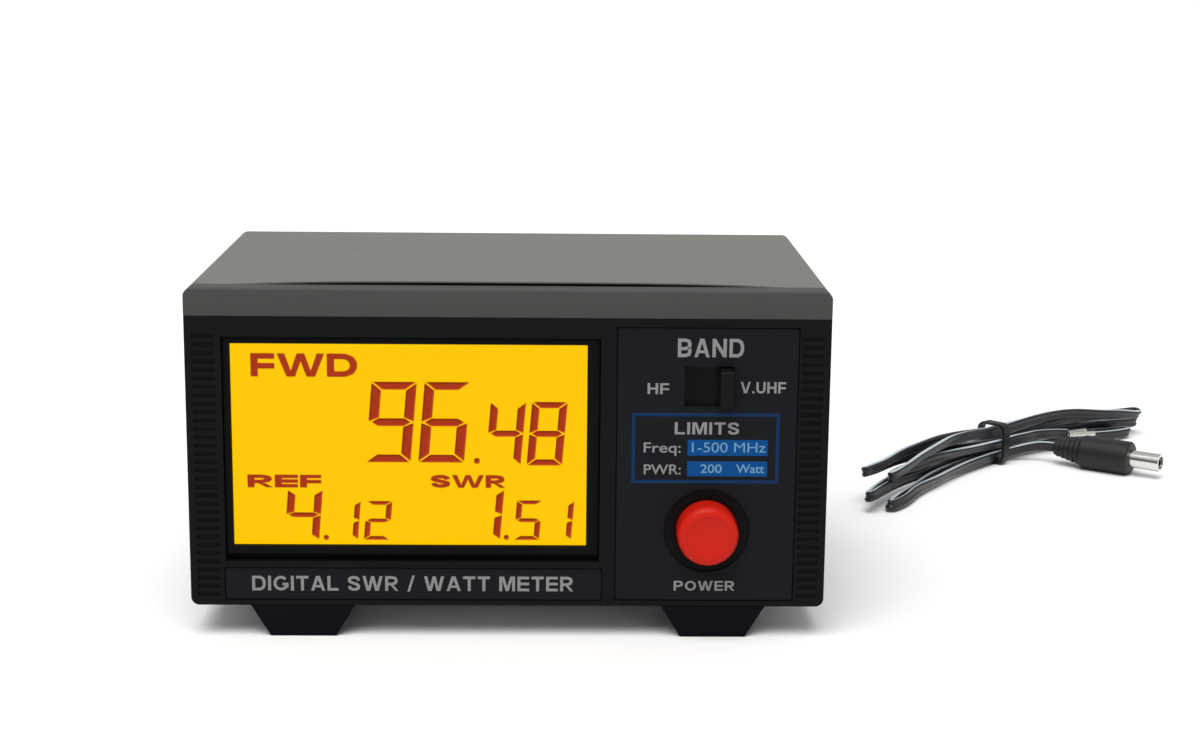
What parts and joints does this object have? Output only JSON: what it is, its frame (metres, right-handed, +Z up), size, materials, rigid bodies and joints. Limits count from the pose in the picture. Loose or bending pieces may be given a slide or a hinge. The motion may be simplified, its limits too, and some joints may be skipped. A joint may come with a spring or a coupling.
{
  "type": "swr meter",
  "caption": "Bench SWR and power meter: flat box with amber display, red power button, band selector and coaxial sockets behind; unplugged DC lead beside it.",
  "frame": {"origin": "on the surface the meter stands on, under the middle of the meter's own box; the loose power lead isn't counted", "axes": "+Z up; the front panel faces -Y; +X is to the right for someone facing the front"},
  "size_m": [0.2873, 0.2262, 0.0835],
  "materials": {
    "bezel_plastic": "fine moulded texture, slightly satin",
    "brow_paint": "warm grey, satin",
    "cover_paint": "warm grey powder coat, fine grain",
    "chassis_steel": "zinc plated",
    "rear_paint": "black powder coat",
    "inlay_plastic": "smooth matt",
    "display_frame_plastic": "matt",
    "clear_acrylic": "clear, polished",
    "display_glass": "amber, lit from behind",
    "light_guide": "milky acrylic",
    "contact_rubber": "matt",
    "button_red": "satin red",
    "knob_plastic": "matt",
    "switch_plastic": "matt",
    "spring_steel": "bright drawn wire",
    "circuit_board": "green solder mask",
    "chip_black": "matt",
    "capacitor_sleeve": "gloss sleeve",
    "header_nylon": "natural nylon",
    "trimmer_blue": "moulded",
    "rotor_brass": "turned",
    "screw_steel": "nickel plated, satin",
    "screw_black": "black oxide",
    "nickel_shell": "bright nickel plate, turned",
    "insulator_ptfe": "PTFE, waxy",
    "contact_gold": "plated",
    "coupler_tin": "tin plated sheet",
    "ferrite": "sintered",
    "jack_plastic": "moulded",
    "wire_pvc": "extruded PVC",
    "foot_plastic": "matt black",
    "foot_rubber": "matt",
    "lead_pvc": "black PVC twin lead, one side striped light grey",
    "plug_pvc": "moulded black PVC",
    "plug_nickel": "nickel plate",
    "plug_tip": "moulded",
    "tie_plastic": "plastic-covered wire",
    "tinned_copper": "tinned strands"
  },
  "bodies": {
    "case": {"band_switch_body": "switch_plastic", "board_headers": "header_nylon", "board_screws": "screw_steel", "bottom_chassis": "chassis_steel", "brow_trim": "brow_paint", "case_screws": "screw_black", "control_panel": "inlay_plastic", "controller_chip": "chip_black", "coupler_boards": "circuit_board", "coupler_lids": "coupler_tin", "dc_jack_body": "jack_plastic", "dc_jack_nut": "screw_steel", "dc_jack_pin": "plug_nickel", "dc_jack_sleeve": "jack_plastic", "dc_wires": "wire_pvc", "display_board": "circuit_board", "filter_capacitors": "capacitor_sleeve", "foot_screws": "screw_steel", "front_bezel": "bezel_plastic", "front_foot_left": "foot_plastic", "front_foot_right": "foot_plastic", "hf_coupler_box": "coupler_tin", "hf_toroid": "ferrite", "label_strip": "inlay_plastic", "lcd_backlight": "light_guide", "lcd_contact_strips": "contact_rubber", "lcd_frame": "display_frame_plastic", "lcd_glass": "display_glass", "lcd_window": "clear_acrylic", "line_bars": "contact_gold", "m3_nuts": "screw_steel", "power_switch_body": "switch_plastic", "power_switch_spring": "spring_steel", "rear_feet": "foot_rubber", "rear_panel": "rear_paint", "sense_cables": "lead_pvc", "socket_contacts": "contact_gold", "socket_flanges": "nickel_shell", "socket_insulators": "insulator_ptfe", "socket_screws": "screw_steel", "socket_shell_hf_ant": "nickel_shell", "socket_shell_hf_tx": "nickel_shell", "socket_shell_vuhf_ant": "nickel_shell", "socket_shell_vuhf_tx": "nickel_shell", "top_cover": "cover_paint", "trimmer_bodies": "trimmer_blue", "voltage_regulator": "chip_black", "vuhf_coupler_box": "coupler_tin"},
    "power_button": {"power_button": "button_red", "power_switch_plunger": "switch_plastic"},
    "band_selector": {"band_switch_knob": "knob_plastic"},
    "fwd_trimmer": {"trimmer_rotor_fwd": "rotor_brass"},
    "ref_trimmer": {"trimmer_rotor_ref": "rotor_brass"},
    "power_lead": {"lead_plug_body": "plug_pvc", "lead_plug_barrel": "plug_nickel", "lead_plug_tip": "plug_tip", "lead_tail": "lead_pvc", "lead_hank": "lead_pvc", "lead_tie": "tie_plastic", "lead_bare_ends": "tinned_copper"}
  },
  "joints": [
    {"name": "power_button_press", "type": "slide", "parent": "case", "child": "power_button", "axis": [0, 1, 0], "range_m": [0, 0.003], "stiffness_N_per_m": 600, "springref_m": -0.003, "deforming": ["power_switch_spring"]},
    {"name": "band_selector_slide", "type": "slide", "parent": "case", "child": "band_selector", "axis": [1, 0, 0], "range_m": [-0.0074, 0]},
    {"name": "fwd_trimmer_turn", "type": "hinge", "parent": "case", "child": "fwd_trimmer", "pos_m": [-0.05, -0.0349, 0.061], "axis": [0, 1, 0], "range_deg": [-135, 135]},
    {"name": "ref_trimmer_turn", "type": "hinge", "parent": "case", "child": "ref_trimmer", "pos_m": [-0.034, -0.0349, 0.061], "axis": [0, 1, 0], "range_deg": [-135, 135]},
    {"name": "power_lead_lift", "type": "slide", "parent": "case", "child": "power_lead", "axis": [0, 0, 1], "range_m": [0, 0.06]}
  ]
}
